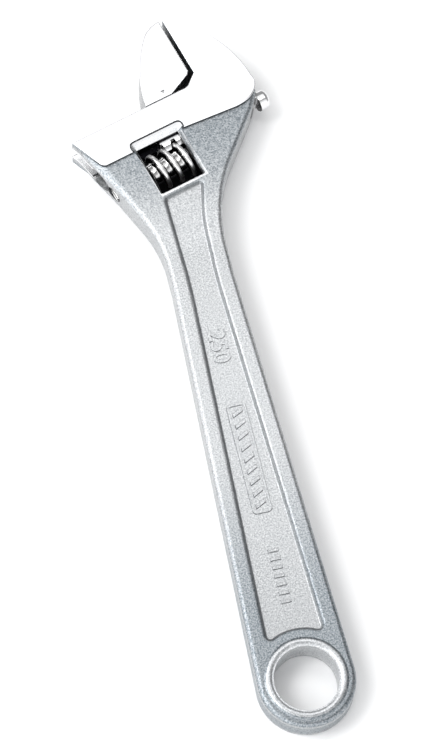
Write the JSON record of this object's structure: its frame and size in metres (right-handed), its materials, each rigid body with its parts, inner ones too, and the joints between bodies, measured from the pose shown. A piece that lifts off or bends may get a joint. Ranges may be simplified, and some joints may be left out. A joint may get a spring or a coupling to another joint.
{
  "type": "adjustable wrench",
  "caption": "Chrome adjustable wrench with an offset head, a worm-driven sliding jaw on a round rail, a sunk handle panel and a hanging hole.",
  "frame": {"origin": "centre of the hanging hole, at the middle of the handle's thickness", "axes": "+Y along the handle from the hanging hole to the head, +Z through the thickness, and +X towards the fixed jaw's side"},
  "size_m": [0.0698, 0.2512, 0.016],
  "materials": {
    "body_chrome": "satin blasted chrome with polished head faces",
    "jaw_chrome": "polished chrome",
    "worm_chrome": "polished chrome",
    "pin_steel": "turned steel",
    "spring_steel": "spring steel wire"
  },
  "bodies": {
    "frame": {"wrench_body": "body_chrome", "worm_pin": "pin_steel", "worm_spring": "spring_steel"},
    "jaw": {"sliding_jaw": "jaw_chrome"},
    "worm": {"adjusting_worm": "worm_chrome"}
  },
  "joints": [
    {"name": "jaw_slide", "type": "slide", "parent": "frame", "child": "jaw", "axis": [-0.9627, -0.2706, 0], "range_m": [-0.001, 0.0287]},
    {"name": "worm_spin", "type": "hinge", "parent": "frame", "child": "worm", "pos_m": [-0.0013, 0.18446, 0], "axis": [0.9627, 0.2706, 0], "range_deg": [-80, 2205]}
  ],
  "couplings": [
    {"joint": "worm_spin", "follows": "jaw_slide", "rad_per_m": 1336.8}
  ]
}
